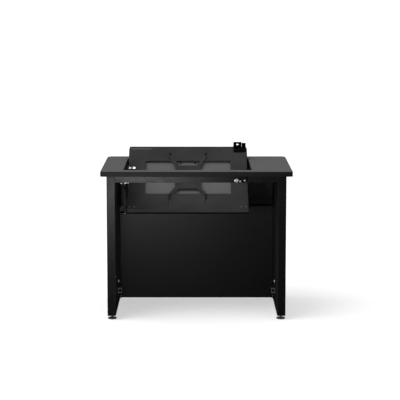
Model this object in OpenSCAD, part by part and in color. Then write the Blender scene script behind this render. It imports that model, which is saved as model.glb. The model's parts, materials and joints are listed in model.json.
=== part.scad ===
// Flip-top computer desk: a laminate top with a large opening, two sheet-steel
// end panels on levelling glides, and a lid that carries a screen mount on its
// underside.  The lid is drawn in its closed place, flush in the top, and then
// swung back about its pivots, because the desk stands with the lid open.
// X runs to the user's right, Y away from the user, Z up; the origin is on the
// floor at the middle of the top's outline.

/* [Top] */
// Overall width of the top
top_w = 914; // [880:1:980]
// Overall depth of the top
top_d = 656; // [650:1:664]
// Height of the working surface above the floor
top_h = 728; // [726:1:738]
// Thickness of the top
top_t = 23.4; // [22:0.2:25.4]
// Thickness of the black edge moulding
band_t = 3; // [2:0.5:4]
// Corner radius at the back of the top
back_r = 30; // [15:1:45]
// Corner radius at the front of the top
front_r = 13; // [8:1:30]

/* [Opening] */
// Clear width of the opening
opening_w = 610; // [600:1:620]
// How far the opening's centre lies to the left of the desk's centre
opening_shift = 43; // [30:1:45]
// Width of the strip of top in front of the opening
front_strip = 75; // [74:1:76]
// Thickness of the trim that lines the opening
trim_t = 2; // [1:0.5:3]

/* [Lid] */
// Width of the lid
lid_w = 600; // [594:1:602]
// Length of the lid from front to back
lid_l = 456; // [452:1:458]
// Thickness of the lid's board
lid_t = 23.4; // [22:0.2:24]
// Depth of the steel pan under the board
pan_depth = 12; // [11:0.5:13]
// Angle the lid swings through between open and closed
lid_travel = 144; // [140:1:144]
// Distance of the pivots behind the middle of the desk
pivot_y = 7; // [6:0.5:8]
// Height of the pivots above the floor
pivot_z = 663; // [662.5:0.5:663.5]

/* [Screen mount] */
// Width of the window in the pan
window_w = 427; // [400:1:440]
// Length of the window in the pan
window_l = 238; // [220:1:245]
// Width of the mounting plate
plate_w = 127; // [122:1:135]
// Length of the mounting plate
plate_l = 168; // [130:1:175]
// Larger square of screw holes for the screen
vesa_large = 100; // [100:1:100]
// Smaller square of screw holes for the screen
vesa_small = 75; // [75:1:75]

/* [Frame] */
// Distance between the outer faces of the end panels
frame_w = 860; // [850:1:870]
// How far the end panels stand back from the front of the top
leg_setback = 53; // [52:1:58]
// Depth of the end panels
leg_d = 560; // [558:1:570]
// Thickness of an end panel's outer shell
leg_t = 38; // [36:1:38]
// Thickness of an end panel's inner cover
cover_t = 2; // [1.5:0.5:3]
// Sheet thickness
sheet = 2; // [1.5:0.5:2]
// Height of the front and rear rails
rail_h = 35; // [32:1:36]
// Depth of the front rail
rail_d = 17; // [16:1:17]
// Distance of the knee panel behind the middle of the desk
knee_y = 205; // [203:1:206]
// Height of the knee panel's top edge
knee_top = 486; // [470:1:488]
// Height of the knee panel's bottom edge
knee_foot = 10; // [8:1:20]

/* [Glides] */
// Height of the end panels above the floor
glide_h = 20; // [20:1:22]
// Diameter of a glide's foot
glide_d = 43; // [38:1:44]
// Diameter of a glide's threaded stem
stem_d = 8; // [7:1:8]
// How far a glide can be screwed out
glide_travel = 12; // [8:1:12]

/* [Gas spring] */
// Diameter of the gas spring's body
spring_d = 24; // [22:1:24]
// Diameter of the gas spring's rod
spring_rod_d = 10; // [8:1:10]
// Length of the gas spring's body
spring_body_l = 164; // [150:1:166]

/* [Hidden] */

$fn = 48;
front_y = -top_d / 2;
under_z = top_h - top_t;
// Opening, measured inside its trim
open_x0 = -opening_shift - opening_w / 2;
open_x1 = open_x0 + opening_w;
open_y0 = front_y + front_strip;
// Lid outline in its closed place
lid_x0 = -opening_shift - lid_w / 2;
lid_x1 = lid_x0 + lid_w;
lid_y0 = open_y0 + 4;
lid_y1 = lid_y0 + lid_l;
pan_z = top_h - lid_t - pan_depth;
lid_edge = 2;
pan_inset = 4;
pan_lip = 22;
// The board stops short of the pan's rear lip
board_y1 = lid_y1 - 2.2;
// The lid's upper rear corner swings out behind the lid, so the opening is longer
open_y1 = lid_y1 + 9;
// End panels
leg_x1 = frame_w / 2;
leg_x0 = leg_x1 - leg_t;
cover_x = leg_x0 - cover_t;
leg_y0 = front_y + leg_setback;
leg_y1 = leg_y0 + leg_d;
leg_h = under_z - glide_h;
rail_z = under_z - rail_h;
rail_y0 = leg_y0 + 3;
rear_panel_y = leg_y1 - 4;
rear_rail_d = 19;
rear_rail_y = rear_panel_y - rear_rail_d;
leg_bend = 3;
// Glides
glide_x = leg_x1 - 21;
glide_ys = [leg_y0 + 35, leg_y1 - 35];
// Pivots
hinge_t = 3;
hinge_gap = 0.5;
// How far a hinge plate's top reaches in front of and behind its pivot
hinge_front = 48;
hinge_rear = 20;
flange_t = 4;
pin_d = 10;
clip_t = 4;
arm_t = pan_inset;
// Lock
lock_x = 208;
lock_z = 682;
bolt_z = 678;
barrel_x = 190.6;
barrel_d = 18;
bolt_d = 9;
housing_w = 64;
housing_h = 28;
housing_d = 14;
// Screen mount
mount_x = -opening_shift;
mount_y = lid_y1 - lid_l / 2;
bracket_t = 2;
slot_w = 9;
arm_w = 23;
// Gas spring: the stud on the lid arm and the anchor on the left end panel
stud_reach = 35;
stud_angle = 24.5;
stud_back = stud_reach * cos(stud_angle);
stud_up = stud_reach * sin(stud_angle);
stud_d = 8;
spring_x = -363.5;
anchor_y = 167;
anchor_z = 454;
stud_y = pivot_y + stud_back * cos(lid_travel) + stud_up * sin(lid_travel);
stud_z = pivot_z - stud_back * sin(lid_travel) + stud_up * cos(lid_travel);
// Cross bolt at the front end of the left arm
stop_y = lid_y1 - 284;
stop_z = pan_z - 10.6;
stop_d = 7;
spring_l = norm([stud_y - anchor_y, stud_z - anchor_z]);
spring_tilt = atan2(stud_z - anchor_z, stud_y - anchor_y);

// ---- shared shapes ----

// A rounded rectangle whose front and back corners have their own radii
module rounded_outline(w, d, rf, rb) {
  square([w - 2 * rf, d], center = true);
  translate([-w / 2, -d / 2 + rf]) square([w, d - rf - rb]);
  translate([-w / 2 + rb, 0]) square([w - 2 * rb, d / 2]);
  for (s = [-1, 1]) {
    translate([s * (w / 2 - rf), -d / 2 + rf]) circle(rf);
    translate([s * (w / 2 - rb), d / 2 - rb]) circle(rb);
  }
}

// A box given by its two far corners
module span(lo, hi) {
  translate(lo) cube(hi - lo);
}

// Mirrors a child to the other side of the desk
module side(s) {
  if (s < 0) mirror([1, 0, 0]) children();
  else children();
}

// Swings the closed lid back about its pivots to where it stands open
module swung_open() {
  translate([0, pivot_y, pivot_z]) rotate([-lid_travel, 0, 0])
    translate([0, -pivot_y, -pivot_z]) children();
}

// A cylinder whose axis lies along X, from x0 to x1
module rod_x(x0, x1, y, z, d) {
  translate([x0, y, z]) rotate([0, 90, 0]) cylinder(d = d, h = x1 - x0);
}

// A cylinder whose axis lies along Y, from y0 to y1
module rod_y(y0, y1, x, z, d) {
  translate([x, y0, z]) rotate([-90, 0, 0]) cylinder(d = d, h = y1 - y0);
}

// A low screw head that points down from height z
module head_down(x, y, z, d, h) {
  translate([x, y, z - h]) cylinder(d = d, h = h);
}

// ---- top ----

module opening_cut(grow) {
  span([open_x0 - grow, open_y0 - grow, under_z - 1],
       [open_x1 + grow, open_y1 + grow, top_h + 1]);
}

module desktop() {
  color("dimgray") difference() {
    translate([0, 0, under_z]) linear_extrude(top_t)
      rounded_outline(top_w - 2 * band_t, top_d - 2 * band_t, front_r - band_t, back_r - band_t);
    opening_cut(trim_t);
  }
}

module desktop_edge_band() {
  color([0.06, 0.06, 0.06]) translate([0, 0, under_z]) linear_extrude(top_t) difference() {
    rounded_outline(top_w, top_d, front_r, back_r);
    rounded_outline(top_w - 2 * band_t, top_d - 2 * band_t, front_r - band_t, back_r - band_t);
  }
}

module opening_trim() {
  color([0.1, 0.1, 0.1]) difference() {
    span([open_x0 - trim_t, open_y0 - trim_t, under_z],
         [open_x1 + trim_t, open_y1 + trim_t, top_h]);
    opening_cut(0);
  }
}

// ---- end panels ----

// Plan of an end panel's shell, its outer corners rounded by the bend in the sheet
module shell_plan(inset) {
  x1 = leg_x1 - inset;
  y0 = leg_y0 + inset;
  y1 = leg_y1 - inset;
  r = leg_bend - inset / 2;
  translate([leg_x0, y0]) square([x1 - r - leg_x0, y1 - y0]);
  translate([leg_x0, y0 + r]) square([x1 - leg_x0, y1 - y0 - 2 * r]);
  for (y = [y0 + r, y1 - r]) translate([x1 - r, y]) circle(r);
}

// The right-hand shell: outer face, front, back, top and bottom, open on the inside
module leg_shell() {
  color([0.07, 0.07, 0.07]) difference() {
    translate([0, 0, glide_h]) linear_extrude(leg_h) shell_plan(0);
    translate([-1, 0, glide_h + sheet]) linear_extrude(leg_h - 2 * sheet) shell_plan(sheet);
    for (y = glide_ys)
      translate([glide_x, y, glide_h - 1]) cylinder(d = stem_d + 0.6, h = sheet + 2);
  }
}

// The right-hand inner cover, a flat sheet set back from the shell's front and rear
module leg_cover() {
  color([0.08, 0.08, 0.08])
    span([cover_x, leg_y0 + leg_bend, glide_h], [leg_x0, leg_y1 - leg_bend, under_z]);
}

// ---- rails and panels ----

module front_rail() {
  color([0.08, 0.08, 0.08]) difference() {
    span([-cover_x, rail_y0, rail_z], [cover_x, rail_y0 + rail_d, under_z]);
    span([-cover_x - 1, rail_y0 + sheet, rail_z + sheet],
         [cover_x + 1, rail_y0 + rail_d - sheet, under_z - sheet]);
    rod_y(rail_y0 - 1, rail_y0 + sheet + 1, barrel_x, lock_z, barrel_d + 0.6);
    rod_y(rail_y0 - 1, rail_y0 + rail_d + 1, lock_x, bolt_z, bolt_d + 0.6);
  }
}

module rear_rail() {
  color([0.08, 0.08, 0.08]) difference() {
    span([-cover_x, rear_rail_y, rail_z], [cover_x, rear_rail_y + rear_rail_d, under_z]);
    span([-cover_x - 1, rear_rail_y + sheet, rail_z + sheet],
         [cover_x + 1, rear_rail_y + rear_rail_d - sheet, under_z - sheet]);
  }
}

// Panel behind the knees: a flat sheet whose four edges fold back
module knee_panel() {
  flange = 18;
  color([0.09, 0.09, 0.09]) difference() {
    span([-cover_x, knee_y, knee_foot], [cover_x, knee_y + sheet + flange, knee_top]);
    span([-cover_x + sheet, knee_y + sheet, knee_foot + sheet],
         [cover_x - sheet, knee_y + flange + sheet + 1, knee_top - sheet]);
  }
}

module rear_panel() {
  bottom = glide_h + 40;
  flange = 15;
  color([0.08, 0.08, 0.08]) {
    span([-cover_x, rear_panel_y, bottom], [cover_x, rear_panel_y + sheet, under_z]);
    for (s = [-1, 1]) side(s)
      span([cover_x - sheet, rear_panel_y - flange, bottom],
           [cover_x, rear_panel_y, rail_z - 5]);
  }
}

// Tray at the foot of the space between the two panels, for the cables
module wire_tray() {
  y0 = knee_y + 21;
  y1 = rear_panel_y - 15.5;
  color([0.08, 0.08, 0.08]) difference() {
    span([-cover_x, y0, 60], [cover_x, y1, 100]);
    span([-cover_x - 1, y0 + sheet, 60 + sheet], [cover_x + 1, y1 - sheet, 101]);
  }
}

// Two lengths of angle that join the right-hand end panel to the top
module top_angles() {
  leg = 30;
  for (y = [[-240, -60], [90, 225]])
    color([0.08, 0.08, 0.08]) difference() {
      span([cover_x - leg, y[0], under_z - leg], [cover_x, y[1], under_z]);
      span([cover_x - leg - 1, y[0] - 1, under_z - leg - 1], [cover_x - 3, y[1] + 1, under_z - 3]);
    }
}

// ---- pivots ----

// Outline of a hinge plate, seen along X: wide under the top, round at the pivot,
// with a tongue that hangs below the pivot by drop
module hinge_plate_outline(drop) {
  r = 16;
  rise = under_z - pivot_z;
  circle(r);
  polygon([[-r + 1, 0], [r - 1, 0], [hinge_rear, rise], [-hinge_front, rise]]);
  if (drop > 0) {
    translate([-r + 1, -drop]) square([2 * r - 2, drop]);
    translate([0, -drop]) circle(r);
  }
}

// A plate that hangs beside the opening, with a flange screwed to the top.
// face is the side towards the lid, and dir points away from it.
module hinge_bracket(face, dir, drop) {
  lo = min(face, face + dir * hinge_t);
  flange_lo = min(face + dir * hinge_t, face + dir * (hinge_t + 33));
  color([0.12, 0.12, 0.12]) difference() {
    union() {
      translate([lo, pivot_y, pivot_z]) rotate([90, 0, 90])
        linear_extrude(hinge_t) hinge_plate_outline(drop);
      span([flange_lo, pivot_y - hinge_front, under_z - flange_t],
           [flange_lo + 33, pivot_y + hinge_rear, under_z]);
    }
    rod_x(lo - 1, lo + hinge_t + 1, pivot_y, pivot_z, pin_d);
  }
}

// Inner end of a pivot pin, just past the lid arm's inner face
function pin_end(face, dir) = face - dir * (hinge_t + 1 + arm_t + 0.4);

// Pin fixed in a hinge plate; the lid arm turns on it
module pivot_pin(face, dir) {
  out = face + dir * hinge_t;
  in = pin_end(face, dir);
  color("silver") rod_x(min(out, in), max(out, in), pivot_y, pivot_z, pin_d);
}

// Spacers between the hinge plates and the lid arms
module pivot_washers() {
  color("silver") for (f = [[left_face, -1], [right_face, 1]]) {
    in = f[0] - f[1] * (hinge_t + 1 - hinge_gap);
    difference() {
      rod_x(min(f[0], in), max(f[0], in), pivot_y, pivot_z, 20);
      rod_x(min(f[0], in) - 1, max(f[0], in) + 1, pivot_y, pivot_z, pin_d);
    }
  }
}

// Clips on the pins' inner ends
module pivot_clips() {
  color("silver") for (f = [[left_face, -1], [right_face, 1]]) {
    out = pin_end(f[0], f[1]);
    in = out - f[1] * clip_t;
    rod_x(min(out, in), max(out, in), pivot_y, pivot_z, 16);
  }
}

left_face = open_x0 + 1;
right_face = open_x1 - 1;

// ---- lock on the front rail ----

module lock_housing() {
  color([0.04, 0.04, 0.04]) difference() {
    translate([lock_x, rail_y0, lock_z + 3]) rotate([90, 0, 0]) linear_extrude(housing_d) {
      square([housing_w - housing_h, housing_h], center = true);
      for (s = [-1, 1]) translate([s * (housing_w - housing_h) / 2, 0]) circle(d = housing_h);
    }
    rod_y(rail_y0 - housing_d - 1, rail_y0 + 1, barrel_x, lock_z, barrel_d + 0.1);
    rod_y(rail_y0 - housing_d - 1, rail_y0 + 1, lock_x, bolt_z, bolt_d + 0.1);
  }
}

module lock_screw() {
  color("silver") rod_y(rail_y0 - housing_d - 2, rail_y0 - housing_d, lock_x + 22, lock_z, 8);
}

module lock_barrel() {
  front = rail_y0 - housing_d - 3;
  color("silver") difference() {
    rod_y(front, rail_y0 + 12, barrel_x, lock_z, barrel_d);
    span([barrel_x - 1, front - 1, lock_z - 5], [barrel_x + 1, front + 6, lock_z + 5]);
  }
}

module lock_bolt() {
  color("silver") rod_y(rail_y0 - housing_d - 2, rail_y0 + rail_d + 0.5, lock_x, bolt_z, bolt_d);
}

// ---- fasteners on the frame ----

module rail_bolts() {
  color([0.2, 0.2, 0.2]) for (s = [-1, 1])
    rod_y(rail_y0 - 3, rail_y0, s * (cover_x - 5), lock_z + 0.8, 8);
}

// Screws through the knee panel's side flanges into the inner covers
module panel_screws() {
  color([0.15, 0.15, 0.15]) for (s = [-1, 1]) side(s)
    for (z = [120, 260, 400]) rod_x(cover_x - 4, cover_x - sheet, knee_y + 12, z, 8);
}

module top_screws() {
  color([0.2, 0.2, 0.2]) {
    for (s = [-1, 1], y = [-220, -80, 110, 205])
      head_down(s * (cover_x - 18), y, under_z - 3, 9, 3);
    for (x = [left_face - 22, right_face + 22], y = [-38, 8])
      head_down(x, pivot_y + y, under_z - flange_t, 9, 3);
  }
}

// Round plugs low on the inner covers
module leg_plugs() {
  color("silver") for (s = [-1, 1]) side(s) {
    rod_x(cover_x - 2, cover_x, -35, 144, 14);
    rod_x(cover_x - 5, cover_x - 2, -35, 144, 9);
  }
}

// Small screw at the left panel's front edge
module leg_screw() {
  color("silver") rod_x(-cover_x, -cover_x + 2, leg_y0 + 13, 208, 6);
}

// Open clips for the cables, one on each inner cover
module cable_clips() {
  wall = 3;
  reach = 18;
  color("gray") for (s = [-1, 1]) side(s) difference() {
    span([cover_x - reach, -53, 87], [cover_x, -39, 111]);
    span([cover_x - reach + wall, -54, 87 + wall], [cover_x - 2, -38, 111 - wall]);
    span([cover_x - reach - 1, -54, 96], [cover_x - reach + wall + 1, -38, 102]);
  }
}

// ---- levelling glides ----

// Threaded sockets inside the end panels' bottoms
module glide_sockets() {
  color("silver") for (s = [-1, 1], y = glide_ys) difference() {
    translate([s * glide_x, y, glide_h + sheet]) cylinder(d = 16, h = 14);
    translate([s * glide_x, y, glide_h]) cylinder(d = stem_d + 0.1, h = 18);
  }
}

// Nylon pad under a glide
module foot(s, y) {
  color([0.12, 0.12, 0.12]) translate([s * glide_x, y, 0]) cylinder(d = glide_d - 1, h = 3);
}

// A glide's plated cup, its threaded stem and the nut that locks it
module stem(s, y) {
  color("silver") translate([s * glide_x, y, 3]) {
    cylinder(d = glide_d, h = 2);
    translate([0, 0, 2]) cylinder(d1 = glide_d, d2 = 20, h = 4, $fn = 64);
    cylinder(d = stem_d, h = 45);
    translate([0, 0, 10]) cylinder(d = 15, h = glide_h - 13.3);
  }
}

// ---- gas spring ----

// Lays a child along the spring's axis, which starts at the anchor
module along_spring() {
  translate([spring_x, anchor_y, anchor_z]) rotate([spring_tilt, 0, 0]) children();
}

module spring_anchor() {
  color([0.1, 0.1, 0.1]) {
    rod_x(-cover_x, spring_x - 7, anchor_y, anchor_z, 16);
    rod_x(spring_x - 7, spring_x + 9, anchor_y, anchor_z, stud_d);
  }
}

module spring_rod() {
  color("silver") along_spring() difference() {
    union() {
      rod_x(-6, 6, 0, 0, 18);
      rod_y(0, spring_l - 70, 0, 0, spring_rod_d);
    }
    rod_x(-7, 7, 0, 0, stud_d + 0.1);
  }
}

// The tube is bored for the piston's stroke and guides the rod at its lower end
module spring_body() {
  body_top = spring_l - 16;
  body_foot = body_top - spring_body_l;
  color([0.06, 0.06, 0.06]) along_spring() difference() {
    union() {
      rod_y(body_foot, body_top, 0, 0, spring_d);
      rod_y(body_top - 1, spring_l, 0, 0, 10);
      rod_x(-6, 6, spring_l, 0, 18);
    }
    rod_y(body_foot - 1, body_foot + 14, 0, 0, spring_rod_d + 0.1);
    rod_y(body_foot + 13, body_top - 6, 0, 0, spring_d - 3);
    rod_x(-7, 7, spring_l, 0, stud_d);
  }
}

module spring_pin() {
  color("silver") along_spring() {
    rod_x(-6, 6, spring_l, 0, stud_d);
    rod_x(-9.5, -6, spring_l, 0, 14);
    rod_x(6, 12.5, spring_l, 0, 14);
  }
}

// ---- lid, drawn in its closed place ----

module lid_board() {
  color("dimgray") swung_open() span([lid_x0 + lid_edge, lid_y0 + lid_edge, top_h - lid_t],
                                     [lid_x1 - lid_edge, board_y1 - lid_edge, top_h]);
}

module lid_edge_band() {
  color([0.1, 0.1, 0.1]) swung_open() difference() {
    span([lid_x0, lid_y0, top_h - lid_t], [lid_x1, board_y1, top_h]);
    span([lid_x0 + lid_edge, lid_y0 + lid_edge, top_h - lid_t - 1],
         [lid_x1 - lid_edge, board_y1 - lid_edge, top_h + 1]);
  }
}

// Places where the mount's arms end, as [x, y] from the mount's centre, with the
// length of the slot that each bolt runs in
arm_ends = [[90, -164], [89, 134]];

module monitor_pan() {
  color([0.2, 0.2, 0.2]) swung_open() difference() {
    union() {
      span([lid_x0 + pan_inset, lid_y0 + 1, pan_z],
           [lid_x1 - pan_inset, lid_y1, pan_z + pan_depth]);
      span([lid_x0 + pan_inset, lid_y1 - sheet, pan_z],
           [lid_x1 - pan_inset, lid_y1, pan_z + pan_lip]);
    }
    span([lid_x0 + pan_inset + sheet, lid_y0 + 1 + sheet, pan_z + sheet],
         [lid_x1 - pan_inset - sheet, lid_y1 - sheet, pan_z + pan_depth + 1]);
    translate([mount_x - window_w / 2, mount_y - window_l / 2, pan_z - 1])
      cube([window_w, window_l, sheet + 2]);
    for (s = [-1, 1]) {
      span([mount_x + s * 90 - slot_w / 2, mount_y - 181, pan_z - 1],
           [mount_x + s * 90 + slot_w / 2, mount_y - 130, pan_z + sheet + 1]);
      span([mount_x + s * 90 - slot_w / 2, mount_y + 127, pan_z - 1],
           [mount_x + s * 90 + slot_w / 2, mount_y + 203, pan_z + sheet + 1]);
    }
  }
}

// Outline of a lid arm in the closed place, seen along X: a strap on the pan's
// side that rises to the pivot and to the gas spring's stud
module arm_outline() {
  top = pan_z + pan_depth - 1;
  stud = [pivot_y + stud_back, pivot_z + stud_up];
  translate([pivot_y, pivot_z]) circle(17);
  translate(stud) circle(11);
  polygon([[lid_y1 - 303, top], [lid_y1 - 303, pan_z - 14], [lid_y1 - 290, pan_z - 20],
           [pivot_y - 10, pivot_z - 10], [pivot_y, pivot_z - 14],
           stud - [0, 8], stud + [8, 0], [lid_y1 - 121, top]]);
}

module lid_arm(x) {
  color([0.12, 0.12, 0.12]) swung_open() difference() {
    translate([x, 0, 0]) rotate([90, 0, 90]) linear_extrude(arm_t) arm_outline();
    rod_x(x - 1, x + arm_t + 1, pivot_y, pivot_z, pin_d + 0.1);
    rod_x(x - 1, x + arm_t + 1, pivot_y + stud_back, pivot_z + stud_up, stud_d);
    rod_x(x - 1, x + arm_t + 1, stop_y, stop_z, stop_d);
  }
}

module pan_screws() {
  color("gainsboro") swung_open()
    for (x = [lid_x0 + 14, lid_x0 + 38, lid_x1 - 38, lid_x1 - 14], y = [lid_y1 - 16])
      head_down(x, y, pan_z, 8, 2);
}

// Screws that hold the arms to the pan's sides, with their heads inside the pan
module arm_screws() {
  color("gray") swung_open() for (y = [lid_y1 - 150, lid_y1 - 210, lid_y1 - 270]) {
    rod_x(lid_x0 + pan_inset + sheet, lid_x0 + pan_inset + sheet + 4, y, pan_z + 6, 7);
    rod_x(lid_x1 - pan_inset - sheet - 4, lid_x1 - pan_inset - sheet, y, pan_z + 6, 7);
  }
}

// Cross bolt through the left arm
module stop_bolt() {
  x = lid_x0 + arm_t;
  color("silver") swung_open() {
    rod_x(lid_x0, x + 33, stop_y, stop_z, stop_d);
    rod_x(x, x + 8, stop_y, stop_z, 15);
    rod_x(x + 22, x + 33, stop_y, stop_z, 13);
  }
}

// Angle bracket that the lock's bolt enters when the lid is closed
module strike_bracket() {
  color([0.05, 0.05, 0.05]) swung_open() difference() {
    union() {
      span([lock_x - 20.5, lid_y0, pan_z - 3], [lock_x + 20.5, lid_y0 + 46, pan_z]);
      span([lock_x - 20.5, lid_y0, pan_z - 31], [lock_x + 20.5, lid_y0 + 3, pan_z - 3]);
    }
    rod_y(lid_y0 - 1, lid_y0 + 5, lock_x, bolt_z, 12);
  }
}

module strike_catch() {
  color([0.05, 0.05, 0.05]) swung_open() {
    span([lock_x + 21.5, lid_y0, pan_z - 3], [lock_x + 42, lid_y0 + 44, pan_z]);
    span([lock_x + 21.5, lid_y0, pan_z - 24.6], [lock_x + 42, lid_y0 + 3, pan_z - 3]);
  }
}

module strike_screws() {
  color("gray") swung_open() {
    for (x = [-12, 12]) head_down(lock_x + x, lid_y0 + 30, pan_z - 3, 8, 2.5);
    head_down(lock_x + 32.5, lid_y0 + 30, pan_z - 3, 8, 2.5);
  }
}

// Stud that carries the upper end of the gas spring
module spring_stud() {
  color("silver") swung_open()
    rod_x(lid_x0 - 7.2, lid_x0 + 8, pivot_y + stud_back, pivot_z + stud_up, stud_d);
}

module label_plate() {
  color("lightgray") swung_open()
    span([lid_x0 + 12, lid_y0 + 17, pan_z - 0.6], [lid_x0 + 114, lid_y0 + 22, pan_z]);
}

// Two studs on the board's underside, seen through the window
module board_bolts() {
  color([0.15, 0.15, 0.15]) swung_open() for (s = [-1, 1])
    head_down(mount_x + s * 36.5, mount_y - 113, top_h - lid_t, 9, 5);
}

// ---- screen mount, drawn in the lid's closed place ----

// One arm of the mount, from the plate's corner to its bolt, in the plate's plane.
// Its round end is a little wider than the arm, so their outlines cross.
module mount_arm(corner, end) {
  run = end - corner;
  translate(end) circle(d = arm_w);
  translate(corner) rotate(atan2(run[1], run[0]))
    translate([0, -arm_w / 2 + 0.75]) square([norm(run), arm_w - 1.5]);
}

module mount_outline() {
  square([plate_w, plate_l], center = true);
  for (s = [-1, 1], e = arm_ends)
    mount_arm([s * (plate_w / 2 - arm_w / 2), sign(e[1]) * (plate_l / 2 - arm_w / 2)],
              [s * e[0], e[1]]);
}

module vesa_bracket() {
  color([0.18, 0.18, 0.18]) swung_open() difference() {
    translate([mount_x, mount_y, pan_z - bracket_t]) linear_extrude(bracket_t) mount_outline();
    for (q = [vesa_small, vesa_large], s = [-1, 1], t = [-1, 1])
      translate([mount_x + s * q / 2, mount_y + t * q / 2, pan_z - bracket_t - 1])
        cylinder(d = 5, h = bracket_t + 2);
    for (s = [-1, 1], e = arm_ends)
      translate([mount_x + s * e[0], mount_y + e[1], pan_z - bracket_t - 1])
        cylinder(d = 6.4, h = bracket_t + 2);
  }
}

// Bolts through the arms' ends, with nuts behind the pan
module bracket_bolts() {
  color([0.12, 0.12, 0.12]) swung_open() for (s = [-1, 1], e = arm_ends)
    translate([mount_x + s * e[0], mount_y + e[1], 0]) {
      translate([0, 0, pan_z - bracket_t - 3.5]) cylinder(d = 12, h = 3.5);
      translate([0, 0, pan_z - bracket_t]) cylinder(d = 6, h = bracket_t + sheet);
      translate([0, 0, pan_z + sheet]) cylinder(d = 13, h = 5);
    }
}

desktop();
desktop_edge_band();
opening_trim();
side(-1) leg_shell();  // left_leg_shell
leg_shell();  // right_leg_shell
side(-1) leg_cover();  // left_leg_cover
leg_cover();  // right_leg_cover
front_rail();
rear_rail();
knee_panel();
rear_panel();
wire_tray();
side(-1) top_angles();  // left_top_angles
top_angles();  // right_top_angles
hinge_bracket(left_face, -1, 0);  // left_hinge_bracket
hinge_bracket(right_face, 1, 53);  // right_hinge_bracket
pivot_pin(left_face, -1);  // left_pivot_pin
pivot_pin(right_face, 1);  // right_pivot_pin
pivot_washers();
pivot_clips();
lock_housing();
lock_screw();
rail_bolts();
panel_screws();
top_screws();
leg_plugs();
leg_screw();
cable_clips();
glide_sockets();
spring_anchor();
lid_board();
lid_edge_band();
monitor_pan();
lid_arm(lid_x0);  // left_lid_arm
lid_arm(lid_x1 - arm_t);  // right_lid_arm
pan_screws();
arm_screws();
stop_bolt();
strike_bracket();
strike_catch();
strike_screws();
spring_stud();
label_plate();
board_bolts();
vesa_bracket();
bracket_bolts();
spring_rod();
spring_body();
spring_pin();
lock_barrel();
lock_bolt();
foot(-1, glide_ys[0]);  // front_left_foot
foot(1, glide_ys[0]);  // front_right_foot
foot(-1, glide_ys[1]);  // rear_left_foot
foot(1, glide_ys[1]);  // rear_right_foot
stem(-1, glide_ys[0]);  // front_left_stem
stem(1, glide_ys[0]);  // front_right_stem
stem(-1, glide_ys[1]);  // rear_left_stem
stem(1, glide_ys[1]);  // rear_right_stem
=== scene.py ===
"""The looks of a black flip-top computer desk: rounded sheet edges, turned and threaded
fasteners, procedural finishes, soft studio light and the camera."""
import json
import math

import bmesh
import bpy
from mathutils import Matrix, Vector


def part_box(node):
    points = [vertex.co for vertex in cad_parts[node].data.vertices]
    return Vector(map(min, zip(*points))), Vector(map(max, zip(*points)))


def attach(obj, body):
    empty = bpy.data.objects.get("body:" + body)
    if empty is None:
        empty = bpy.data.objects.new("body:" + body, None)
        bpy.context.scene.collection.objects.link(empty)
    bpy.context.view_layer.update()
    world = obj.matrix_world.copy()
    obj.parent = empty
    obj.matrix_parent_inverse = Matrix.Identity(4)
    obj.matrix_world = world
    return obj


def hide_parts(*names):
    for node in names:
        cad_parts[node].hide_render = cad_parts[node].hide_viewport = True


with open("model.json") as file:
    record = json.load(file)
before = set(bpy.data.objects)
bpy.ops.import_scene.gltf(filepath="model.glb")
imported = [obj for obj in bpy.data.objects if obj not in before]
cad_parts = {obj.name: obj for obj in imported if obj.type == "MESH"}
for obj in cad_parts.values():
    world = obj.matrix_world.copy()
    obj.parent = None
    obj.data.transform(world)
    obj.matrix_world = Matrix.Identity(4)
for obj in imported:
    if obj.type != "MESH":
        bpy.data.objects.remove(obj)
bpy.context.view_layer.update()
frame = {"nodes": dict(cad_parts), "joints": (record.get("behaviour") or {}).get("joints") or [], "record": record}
MM = 0.001
NODES = frame["nodes"]
BODY_OF = {n: b for b, ns in frame["record"]["behaviour"]["bodies"].items() for n in ns}
SLOT_OF = {s["node"]: s["material_slot"] for s in frame["record"]["subparts"]}

# The lid stands open, so its own axes are turned from the desk's about X
LID_HINGE = next(j for j in frame["joints"] if j["name"] == "lid_hinge")
LID_TRAVEL = math.radians(LID_HINGE["range_deg"][1])
LID_DOWN = Vector((0, -math.sin(LID_TRAVEL), -math.cos(LID_TRAVEL)))
X, Y, Z = Vector((1, 0, 0)), Vector((0, 1, 0)), Vector((0, 0, 1))

GLIDES = [f"{end}_{side}" for end in ("front", "rear") for side in ("left", "right")]


# ---- camera ----

LENS_MM = 134.4
SENSOR_MM = 36
SIDE_SHIFT = 0.00875
CAMERA_PLACE = (0, -7.341, 1.602)
CAMERA_DIP = 8.18
VIEW_DEPTH = 60


def make_camera():
    data = bpy.data.cameras.new("camera")
    data.lens = LENS_MM
    data.sensor_width = SENSOR_MM
    data.shift_x = SIDE_SHIFT
    data.clip_end = VIEW_DEPTH
    cam = bpy.data.objects.new("camera", data)
    cam.location = CAMERA_PLACE
    cam.rotation_euler = (math.radians(90 - CAMERA_DIP), 0, 0)
    bpy.context.scene.collection.objects.link(cam)
    bpy.context.scene.camera = cam


# ---- materials ----

# Where most of a noise's values lie: a wide band for sheen, a narrower one for colour
SHEEN_BAND = (0.3, 0.7)
COLOUR_BAND = (0.35, 0.65)


def new_material(name, colour, rough, metal=0.0, specular=0.5):
    """A material and its shader, with the values that are the same all over."""
    mat = bpy.data.materials.new(name)
    mat.use_nodes = True
    shader = mat.node_tree.nodes["Principled BSDF"]
    shader.inputs["Base Color"].default_value = (*colour, 1)
    shader.inputs["Roughness"].default_value = rough
    shader.inputs["Metallic"].default_value = metal
    shader.inputs["Specular IOR Level"].default_value = specular
    return mat, shader


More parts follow.
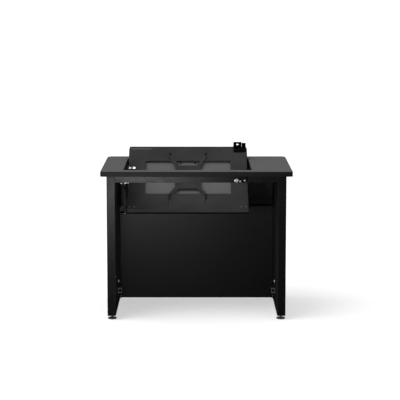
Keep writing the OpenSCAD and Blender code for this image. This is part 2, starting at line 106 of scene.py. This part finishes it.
def noise(mat, scale, detail=2.0, stretch=(1, 1, 1)):
    """Noise fixed to the object, at so many features a metre along each axis."""
    nodes, links = mat.node_tree.nodes, mat.node_tree.links
    coords = nodes.new("ShaderNodeTexCoord")
    mapping = nodes.new("ShaderNodeMapping")
    mapping.inputs["Scale"].default_value = stretch
    tex = nodes.new("ShaderNodeTexNoise")
    tex.inputs["Scale"].default_value = scale
    tex.inputs["Detail"].default_value = detail
    links.new(coords.outputs["Object"], mapping.inputs["Vector"])
    links.new(mapping.outputs["Vector"], tex.inputs["Vector"])
    return tex.outputs["Fac"]


def vary(mat, shader, socket, source, low, high):
    """Lets a number socket run from low to high with a noise."""
    ramp = mat.node_tree.nodes.new("ShaderNodeMapRange")
    ramp.inputs["From Min"].default_value = SHEEN_BAND[0]
    ramp.inputs["From Max"].default_value = SHEEN_BAND[1]
    ramp.inputs["To Min"].default_value = low
    ramp.inputs["To Max"].default_value = high
    mat.node_tree.links.new(source, ramp.inputs["Value"])
    mat.node_tree.links.new(ramp.outputs["Result"], shader.inputs[socket])


def tint(mat, shader, source, dark, light):
    """Lets the colour run from dark to light with a noise."""
    ramp = mat.node_tree.nodes.new("ShaderNodeValToRGB")
    ramp.color_ramp.elements[0].position = COLOUR_BAND[0]
    ramp.color_ramp.elements[1].position = COLOUR_BAND[1]
    ramp.color_ramp.elements[0].color = (*dark, 1)
    ramp.color_ramp.elements[1].color = (*light, 1)
    mat.node_tree.links.new(source, ramp.inputs["Fac"])
    mat.node_tree.links.new(ramp.outputs["Color"], shader.inputs["Base Color"])


def bump(mat, shader, source, strength, depth):
    """Raises the surface with a noise, by depth in metres."""
    node = mat.node_tree.nodes.new("ShaderNodeBump")
    node.inputs["Strength"].default_value = strength
    node.inputs["Distance"].default_value = depth
    mat.node_tree.links.new(source, node.inputs["Height"])
    mat.node_tree.links.new(node.outputs["Normal"], shader.inputs["Normal"])


def grey(value):
    """A grey that is very slightly blue."""
    return (value, value, value * 1.02)


def powder(name, value, rough, specular):
    """Powder coat: a fine orange peel, with slow changes in sheen."""
    mat, shader = new_material(name, grey(value), rough, specular=specular)
    tint(mat, shader, noise(mat, 9, 3), grey(value * 0.9), grey(value * 1.1))
    vary(mat, shader, "Roughness", noise(mat, 24, 4), rough - 0.03, rough + 0.03)
    bump(mat, shader, noise(mat, 900, 2), 0.12, 0.00015)
    return mat


def laminate(name, value):
    """Charcoal laminate with a fine matt pebble and faint mottling."""
    mat, shader = new_material(name, grey(value), 0.45, specular=0.35)
    tint(mat, shader, noise(mat, 420, 6), grey(value * 0.88), grey(value * 1.1))
    vary(mat, shader, "Roughness", noise(mat, 60, 4), 0.42, 0.5)
    bump(mat, shader, noise(mat, 1400, 3), 0.15, 0.0001)
    return mat


def moulded(name, value, rough):
    """Moulded plastic or rubber with a light texture."""
    mat, shader = new_material(name, grey(value), rough, specular=0.4)
    tint(mat, shader, noise(mat, 40, 3), grey(value * 0.88), grey(value * 1.12))
    vary(mat, shader, "Roughness", noise(mat, 120, 4), rough - 0.05, rough + 0.05)
    bump(mat, shader, noise(mat, 1100, 2), 0.15, 0.0001)
    return mat


HALF_METAL = 0.5
GRAIN_STRETCH = (0.08, 1, 1)


def metal(name, value, rough, grain):
    """Bare or plated metal with a grain along X, under a dull film that scatters light."""
    mat, shader = new_material(name, grey(value), rough, metal=HALF_METAL)
    along = noise(mat, grain, 3, GRAIN_STRETCH)
    tint(mat, shader, along, grey(value * 0.9), grey(value))
    vary(mat, shader, "Roughness", along, rough * 0.8, rough * 1.25)
    return mat


MATERIALS = {
    "laminate": laminate("charcoal_laminate", 0.15),
    "edging": moulded("black_edging", 0.004, 0.58),
    "powder_coat": powder("black_powder_coat", 0.003, 0.4, 0.4),
    "pan_coat": powder("dark_powder_coat", 0.04, 0.45, 0.3),
    "zinc": metal("zinc_plate", 0.95, 0.28, 700),
    "chrome": metal("polished_chrome", 0.9, 0.16, 300),
    "black_steel": powder("black_oxide", 0.012, 0.36, 0.5),
    "lock_plastic": moulded("lock_black", 0.006, 0.25),
    "nylon": moulded("black_nylon", 0.012, 0.5),
    "clip_plastic": moulded("clip_grey", 0.16, 0.4),
    "strip": moulded("pale_strip", 0.13, 0.5),
}

# The knee panel and the top's angles take a copy of the black coat that is a shade greyer and duller than the
# legs' shells and the rails.
# The leg covers and the rear panel take a greyer copy again. Both are painted light that lifts these shaded
# sheets.
# The lid's board takes a copy of the top's laminate a little darker than the top: painted shade.
# The gas spring's painted tube is a satin grey, and its rod has dulled in use.
INNER_COAT_PAINTED_LIGHT = powder("inner_coat_painted_light", 0.005, 0.42, 0.5)
SIDE_COAT_PAINTED_LIGHT = powder("side_coat_painted_light", 0.018, 0.5, 0.4)
SPECIAL_FINISHES = {
    "lid_board": laminate("board_laminate_painted_shade", 0.122),
    "knee_panel": INNER_COAT_PAINTED_LIGHT,
    "rear_panel": SIDE_COAT_PAINTED_LIGHT,
    "left_leg_cover": SIDE_COAT_PAINTED_LIGHT,
    "right_leg_cover": SIDE_COAT_PAINTED_LIGHT,
    "left_top_angles": INNER_COAT_PAINTED_LIGHT,
    "right_top_angles": INNER_COAT_PAINTED_LIGHT,
    "spring_body": powder("satin_tube", 0.05, 0.4, 0.5),
    "spring_rod": metal("dulled_rod", 0.12, 0.35, 500),
    "pan_screws": metal("dulled_zinc", 0.25, 0.4, 700),
}
# The glides' cups, stems and nuts take a dark plate: painted shade for the shadow at the foot of the legs.
GLIDE_PLATE_PAINTED_SHADE = metal("glide_plate_painted_shade", 0.2, 0.3, 500)
for glide_name in GLIDES:
    SPECIAL_FINISHES[glide_name + "_stem"] = GLIDE_PLATE_PAINTED_SHADE


def material_of(node):
    return SPECIAL_FINISHES.get(node) or MATERIALS[SLOT_OF[node]]


def finish_as(obj, material):
    obj.data.materials.clear()
    obj.data.materials.append(material)


def finish_nodes():
    for name, obj in NODES.items():
        finish_as(obj, material_of(name))


# ---- pieces made from the CAD nodes ----

SAME_POINT = 2e-6
ON_AXIS = 1e-7
ROUNDED_FROM = math.radians(40)
SHARP_FROM = math.radians(35)
FACE_WEIGHT = 100
THREAD_PITCH = 1.25 * MM
FOOT_STEPS = 56
SHANK_STEPS = 32
HEX = 6
NUT_CHAMFER = 0.5 * MM


def link(name, mesh, node):
    """A piece that takes its finish and its body from a CAD node."""
    obj = bpy.data.objects.new(name, mesh)
    bpy.context.scene.collection.objects.link(obj)
    finish_as(obj, material_of(node))
    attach(obj, BODY_OF[node])
    return obj


def soften(node, width, segments=3):
    """A node with its edges rounded by width, in place of the sharp one."""
    mesh = NODES[node].data.copy()
    bm = bmesh.new()
    bm.from_mesh(mesh)
    bmesh.ops.remove_doubles(bm, verts=bm.verts, dist=SAME_POINT)
    bm.to_mesh(mesh)
    bm.free()
    mesh.shade_smooth()
    piece = link(node + "_formed", mesh, node)
    edge = piece.modifiers.new("rounded_edges", "BEVEL")
    edge.width = width
    edge.segments = segments
    edge.limit_method = "ANGLE"
    edge.angle_limit = ROUNDED_FROM
    edge.use_clamp_overlap = True
    flat = piece.modifiers.new("flat_faces", "WEIGHTED_NORMAL")
    flat.mode = "FACE_AREA"
    flat.weight = FACE_WEIGHT
    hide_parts(node)


def islands(node):
    """The points of each separate solid in a node, as one list a solid."""
    bm = bmesh.new()
    bm.from_mesh(NODES[node].data)
    bmesh.ops.remove_doubles(bm, verts=bm.verts, dist=SAME_POINT)
    seen, found = set(), []
    for start in bm.verts:
        if start in seen:
            continue
        stack, members = [start], []
        seen.add(start)
        while stack:
            v = stack.pop()
            members.append(v.co.copy())
            for e in v.link_edges:
                other = e.other_vert(v)
                if other not in seen:
                    seen.add(other)
                    stack.append(other)
        found.append(members)
    bm.free()
    return found


def extent(points, axis):
    """How far a solid reaches along an axis, from its lowest point to its highest."""
    along = [p.dot(axis) for p in points]
    return min(along), max(along)


def middle_at(points, axis, at):
    """The point on a solid's centre line that lies a distance at along the axis."""
    across = axis.orthogonal().normalized()
    base = Vector()
    for side in (across, axis.cross(across)):
        low, high = extent(points, side)
        base += side * (low + high) / 2
    return base + axis * at


def radius_of(points, axis):
    """The greatest distance of a solid's points from its centre line."""
    centre = middle_at(points, axis, 0)
    return max((p - axis * p.dot(axis) - centre).length for p in points)


def ring(bm, radius, height, steps):
    """A circle of points about Z, counter-clockwise from X."""
    turn = [2 * math.pi * i / steps for i in range(steps)]
    return [bm.verts.new((radius * math.cos(a), radius * math.sin(a), height)) for a in turn]


def lathe(profile, steps=48):
    """A mesh turned about Z from (radius, height) pairs that start and end on the axis."""
    bm = bmesh.new()
    rings = []
    for r, h in profile:
        rings.append([bm.verts.new((0, 0, h))] if r < ON_AXIS else ring(bm, r, h, steps))
    for low, high in zip(rings, rings[1:]):
        for i in range(steps):
            j = (i + 1) % steps
            around = ((low, i), (low, j), (high, j), (high, i))
            corners = []
            for level, k in around:
                v = level[k % len(level)]
                if v not in corners:
                    corners.append(v)
            if len(corners) > 2:
                bm.faces.new(corners)
    bmesh.ops.recalc_face_normals(bm, faces=bm.faces)
    return bm


def prism(sides, radius, low, high, chamfer):
    """A chamfered prism about Z, as on a nut."""
    bm = bmesh.new()
    profile = [(radius - chamfer, low), (radius, low + chamfer),
               (radius, high - chamfer), (radius - chamfer, high)]
    rings = [ring(bm, r, h, sides) for r, h in profile]
    for a, b in zip(rings, rings[1:]):
        for i in range(sides):
            j = (i + 1) % sides
            bm.faces.new((a[i], a[j], b[j], b[i]))
    bm.faces.new(rings[0])
    bm.faces.new(rings[-1])
    bmesh.ops.recalc_face_normals(bm, faces=bm.faces)
    return bm


def stood(bm, axis, origin):
    """Turns a mesh from Z to an axis and moves it there."""
    turn = Z.rotation_difference(axis).to_matrix().to_4x4()
    bm.transform(Matrix.Translation(origin) @ turn)
    return bm


def joined(name, parts, node):
    """One piece from several meshes, smooth where it is round."""
    mesh = bpy.data.meshes.new(name)
    whole = bmesh.new()
    for bm in parts:
        part = bpy.data.meshes.new("part")
        bm.to_mesh(part)
        bm.free()
        whole.from_mesh(part)
        bpy.data.meshes.remove(part)
    whole.to_mesh(mesh)
    whole.free()
    mesh.shade_smooth()
    mesh.set_sharp_from_angle(angle=SHARP_FROM)
    return link(name, mesh, node)


def socket_head(radius, low, high):
    """A domed head with a round-cornered socket, standing from low to high."""
    rise = high - low
    sink = radius * 0.42
    return lathe(
        [(0, low), (radius * 0.96, low), (radius, low + rise * 0.12),
         (radius, low + rise * 0.45), (radius * 0.93, low + rise * 0.78), (radius * 0.72, high),
         (sink * 1.1, high), (sink, high - rise * 0.06), (sink * 0.96, low + rise * 0.35),
         (0, low + rise * 0.3)]
    )


def heads(node, axis):
    """Turned heads in place of a node's plain discs; axis points out of each head."""
    parts = []
    for points in islands(node):
        out = axis(points) if callable(axis) else axis
        low, high = extent(points, out)
        bm = socket_head(radius_of(points, out), low, high)
        parts.append(stood(bm, out, middle_at(points, out, 0)))
    piece = joined(node + "_turned", parts, node)
    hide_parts(node)


def inward(points):
    """Towards the middle of the desk along X."""
    centre = sum(points, Vector()) / len(points)
    return -X if centre.x > 0 else X


def bracket_fasteners():
    """The mount's bolts: a button head in front of the pan and a hex nut behind it."""
    parts = []
    for points in islands("bracket_bolts"):
        low, high = extent(points, LID_DOWN)
        origin = middle_at(points, LID_DOWN, 0)
        head_low = high - 3.5 * MM
        tip, shank = low + 4 * MM, 3 * MM
        for bm in (
            socket_head(6 * MM, head_low, high),
            lathe([(0, tip), (shank, tip), (shank, head_low), (0, head_low)], SHANK_STEPS),
            prism(HEX, 6.4 * MM, low, low + 4.9 * MM, NUT_CHAMFER),
        ):
            parts.append(stood(bm, LID_DOWN, origin))
    piece = joined("bracket_bolts_turned", parts, "bracket_bolts")
    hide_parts("bracket_bolts")


def threads(radius, low, high, depth):
    """Profile points of a ridged stem from low to high."""
    points = []
    for i in range(int((high - low) / THREAD_PITCH)):
        base = low + i * THREAD_PITCH
        points += [(radius - depth, base), (radius, base + THREAD_PITCH * 0.5)]
    return points


def glide(node):
    """A plated cup, ridged stem and hex nut, as one turned piece in place of the plain one."""
    lo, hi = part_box(node)
    origin = Vector(((lo.x + hi.x) / 2, (lo.y + hi.y) / 2, 0))
    r = (hi.x - lo.x) / 2
    base = lo.z
    stem = 4 * MM
    cup = lathe(
        [(0, base), (r * 0.97, base), (r, base + 0.6 * MM), (r, base + 1.8 * MM),
         (r * 0.98, base + 2.2 * MM), (r * 0.86, base + 3.2 * MM), (r * 0.66, base + 4.6 * MM),
         (r * 0.5, base + 5.6 * MM), (9 * MM, base + 6 * MM), (stem, base + 6 * MM)]
        + threads(stem, base + 6 * MM, hi.z - MM, 0.45 * MM)
        + [(stem * 0.8, hi.z), (0, hi.z)],
        FOOT_STEPS,
    )
    nut = prism(HEX, 7.4 * MM, base + 10 * MM, base + 16.6 * MM, NUT_CHAMFER)
    for bm in (cup, nut):
        bm.transform(Matrix.Translation(origin))
    piece = joined(node + "_turned", [cup, nut], node)
    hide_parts(node)


def pad(node):
    """A glide's nylon pad with a rounded foot."""
    lo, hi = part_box(node)
    r = (hi.x - lo.x) / 2
    bm = lathe([(0, 0), (r * 0.93, 0), (r * 0.98, 0.5 * MM), (r, 1.2 * MM),
                (r, hi.z - 0.3 * MM), (r * 0.98, hi.z), (0, hi.z)], FOOT_STEPS)
    bm.transform(Matrix.Translation(((lo.x + hi.x) / 2, (lo.y + hi.y) / 2, 0)))
    piece = joined(node + "_moulded", [bm], node)
    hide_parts(node)


def cross_bolt():
    """The left arm's cross bolt: a flanged nut at the arm, a ridged shank and a nut."""
    points = islands("stop_bolt")[0]
    low, high = extent(points, X)
    origin = middle_at(points, X, 0)
    shank, flange = 3.5 * MM, 7.5 * MM
    arm = low + 4 * MM
    nut = arm + 8 * MM
    end_nut = high - 11 * MM
    parts = [
        lathe([(0, low), (shank, low), (shank, arm), (0, arm)], SHANK_STEPS),
        lathe([(0, arm), (flange, arm), (flange, arm + 1.6 * MM), (0, arm + 1.6 * MM)]),
        prism(HEX, 7.2 * MM, arm + 1.6 * MM, nut, NUT_CHAMFER),
        lathe([(0, nut)] + threads(shank, nut, end_nut, 0.4 * MM) + [(0, end_nut)], SHANK_STEPS),
        prism(HEX, 6.4 * MM, end_nut, high, 0.6 * MM),
    ]
    parts = [stood(bm, X, origin) for bm in parts]
    piece = joined("stop_bolt_turned", parts, "stop_bolt")
    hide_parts("stop_bolt")


def key_barrel():
    """The lock's barrel: a dished face, a raised rim and a keyway cut across it."""
    lo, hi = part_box("lock_barrel")
    r = (hi.x - lo.x) / 2
    face = hi.y - lo.y
    middle_x, middle_z = (lo.x + hi.x) / 2, (lo.z + hi.z) / 2
    body = lathe([(0, 0), (r, 0), (r, face - 1.2 * MM), (r * 0.93, face - 0.2 * MM),
                  (r * 0.8, face), (r * 0.7, face - 0.8 * MM), (0, face - 0.9 * MM)])
    stood(body, -Y, Vector((middle_x, hi.y, middle_z)))
    piece = joined("lock_barrel_turned", [body], "lock_barrel")
    slot = bmesh.new()
    bmesh.ops.create_cube(slot, size=1)
    slot.transform(Matrix.Diagonal((1.8 * MM, 8 * MM, 9 * MM, 1)))
    slot.transform(Matrix.Translation((middle_x, lo.y + 2 * MM, middle_z)))
    mesh = bpy.data.meshes.new("keyway")
    slot.to_mesh(mesh)
    slot.free()
    cutter = bpy.data.objects.new("keyway", mesh)
    bpy.context.scene.collection.objects.link(cutter)
    cut = piece.modifiers.new("keyway", "BOOLEAN")
    cut.operation = "DIFFERENCE"
    cut.object = cutter
    depsgraph = bpy.context.evaluated_depsgraph_get()
    shaped = bpy.data.meshes.new_from_object(piece.evaluated_get(depsgraph))
    piece.modifiers.clear()
    piece.data = shaped
    piece.data.set_sharp_from_angle(angle=SHARP_FROM)
    bpy.data.objects.remove(cutter)
    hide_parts("lock_barrel")


# How wide each edge is rounded
SHEET_EDGE = 0.5 * MM
STRIP_EDGE = 0.15 * MM
SOFT_EDGES = {
    "desktop_edge_band": 1.6 * MM,
    "lid_edge_band": 0.8 * MM,
    "opening_trim": 0.5 * MM,
    "left_leg_shell": 0.9 * MM,
    "right_leg_shell": 0.9 * MM,
    "front_rail": 0.8 * MM,
    "rear_rail": 0.8 * MM,
    "lock_housing": 2.2 * MM,
    "cable_clips": 0.7 * MM,
}
SHEET_NODES = (
    "left_leg_cover", "right_leg_cover", "knee_panel", "rear_panel", "wire_tray",
    "left_top_angles", "right_top_angles", "left_hinge_bracket", "right_hinge_bracket",
    "monitor_pan", "vesa_bracket", "left_lid_arm", "right_lid_arm", "strike_bracket",
    "strike_catch", "lock_bolt", "spring_body", "spring_rod", "spring_pin", "spring_anchor",
    "spring_stud", "left_pivot_pin", "right_pivot_pin", "pivot_clips", "pivot_washers",
    "label_plate", "leg_plugs",
)


def build_pieces():
    for node, width in SOFT_EDGES.items():
        soften(node, width)
    for node in SHEET_NODES:
        soften(node, STRIP_EDGE if node == "label_plate" else SHEET_EDGE, 2)
    heads("rail_bolts", -Y)
    heads("lock_screw", -Y)
    heads("top_screws", -Z)
    heads("panel_screws", inward)
    heads("leg_screw", inward)
    for node in ("pan_screws", "strike_screws", "board_bolts"):
        heads(node, LID_DOWN)
    heads("arm_screws", inward)
    bracket_fasteners()
    cross_bolt()
    key_barrel()
    for name in GLIDES:
        glide(name + "_stem")
        pad(name + "_foot")


# ---- light and floor ----

WHITE = (1, 1, 1, 1)
FLOOR_GLOW = 0.5
FLOOR_GREY = 0.62
SURROUND = 0.6
BACKDROP_GLOW = 1.1
REACH = 40
SUN_STRENGTH = 1.7
SUN_SPREAD = math.radians(50)
SUN_WAY = Vector((0.62, 0.25, -1))
# Name, place, aim, width and height in metres, and watts
SOFTBOXES = (
    ("near_softbox", (-0.32, -1.5, 0.56), (-0.25, -0.2, 0.56), (0.36, 0.3), 4.4),
    ("left_card", (-2.4, -1.0, 1.2), (0, -0.2, 0.6), (1.0, 1.8), 18),
    ("right_card", (2.2, -1.4, 1.1), (0.3, -0.2, 0.6), (0.6, 1.6), 5),
)


def towards(way):
    """The rotation that turns a lamp to shine along a direction."""
    return way.to_track_quat("-Z", "Y").to_euler()


def softbox(name, place, aim, size, watts):
    """A softbox that shows only in reflections."""
    data = bpy.data.lights.new(name, "AREA")
    data.shape = "RECTANGLE"
    data.size, data.size_y = size
    data.energy = watts
    lamp = bpy.data.objects.new(name, data)
    lamp.location = place
    lamp.rotation_euler = towards(Vector(aim) - Vector(place))
    lamp.visible_camera = False
    lamp.visible_diffuse = False
    bpy.context.scene.collection.objects.link(lamp)


def make_floor():
    """A pale floor that glows a little, as on a light table, so its shadows stay light."""
    mesh = bpy.data.meshes.new("floor")
    corners = [(-REACH, -REACH, 0), (REACH, -REACH, 0), (REACH, REACH, 0), (-REACH, REACH, 0)]
    mesh.from_pydata(corners, [], [(0, 1, 2, 3)])
    floor = bpy.data.objects.new("floor", mesh)
    bpy.context.scene.collection.objects.link(floor)
    mat, shader = new_material("pale_floor", (FLOOR_GREY,) * 3, 0.9, specular=0.0)
    shader.inputs["Emission Color"].default_value = WHITE
    shader.inputs["Emission Strength"].default_value = FLOOR_GLOW
    floor.data.materials.append(mat)
    floor.visible_glossy = False


def make_backdrop():
    """A white shell all round that only the camera sees."""
    bm = bmesh.new()
    bmesh.ops.create_icosphere(bm, subdivisions=3, radius=REACH * 0.9)
    mesh = bpy.data.meshes.new("backdrop")
    bm.to_mesh(mesh)
    bm.free()
    shell = bpy.data.objects.new("backdrop", mesh)
    bpy.context.scene.collection.objects.link(shell)
    mat, shader = new_material("white_backdrop", (0, 0, 0), 1.0, specular=0.0)
    shader.inputs["Emission Color"].default_value = WHITE
    shader.inputs["Emission Strength"].default_value = BACKDROP_GLOW
    mesh.materials.append(mat)
    shell.visible_diffuse = False
    shell.visible_glossy = False
    shell.visible_shadow = False


def make_studio():
    """A broad sun from above and the left, and three softboxes for the coat to reflect."""
    world = bpy.data.worlds.new("surround")
    world.use_nodes = True
    background = world.node_tree.nodes["Background"]
    background.inputs["Color"].default_value = WHITE
    background.inputs["Strength"].default_value = SURROUND
    world.cycles_visibility.glossy = False
    bpy.context.scene.world = world
    bpy.context.scene.view_settings.view_transform = "Standard"
    make_floor()
    make_backdrop()

    data = bpy.data.lights.new("left_sky", "SUN")
    data.energy = SUN_STRENGTH
    data.angle = SUN_SPREAD
    lamp = bpy.data.objects.new("left_sky", data)
    lamp.rotation_euler = towards(SUN_WAY)
    lamp.visible_glossy = False
    bpy.context.scene.collection.objects.link(lamp)

    for box in SOFTBOXES:
        softbox(*box)


make_camera()
finish_nodes()
build_pieces()
make_studio()
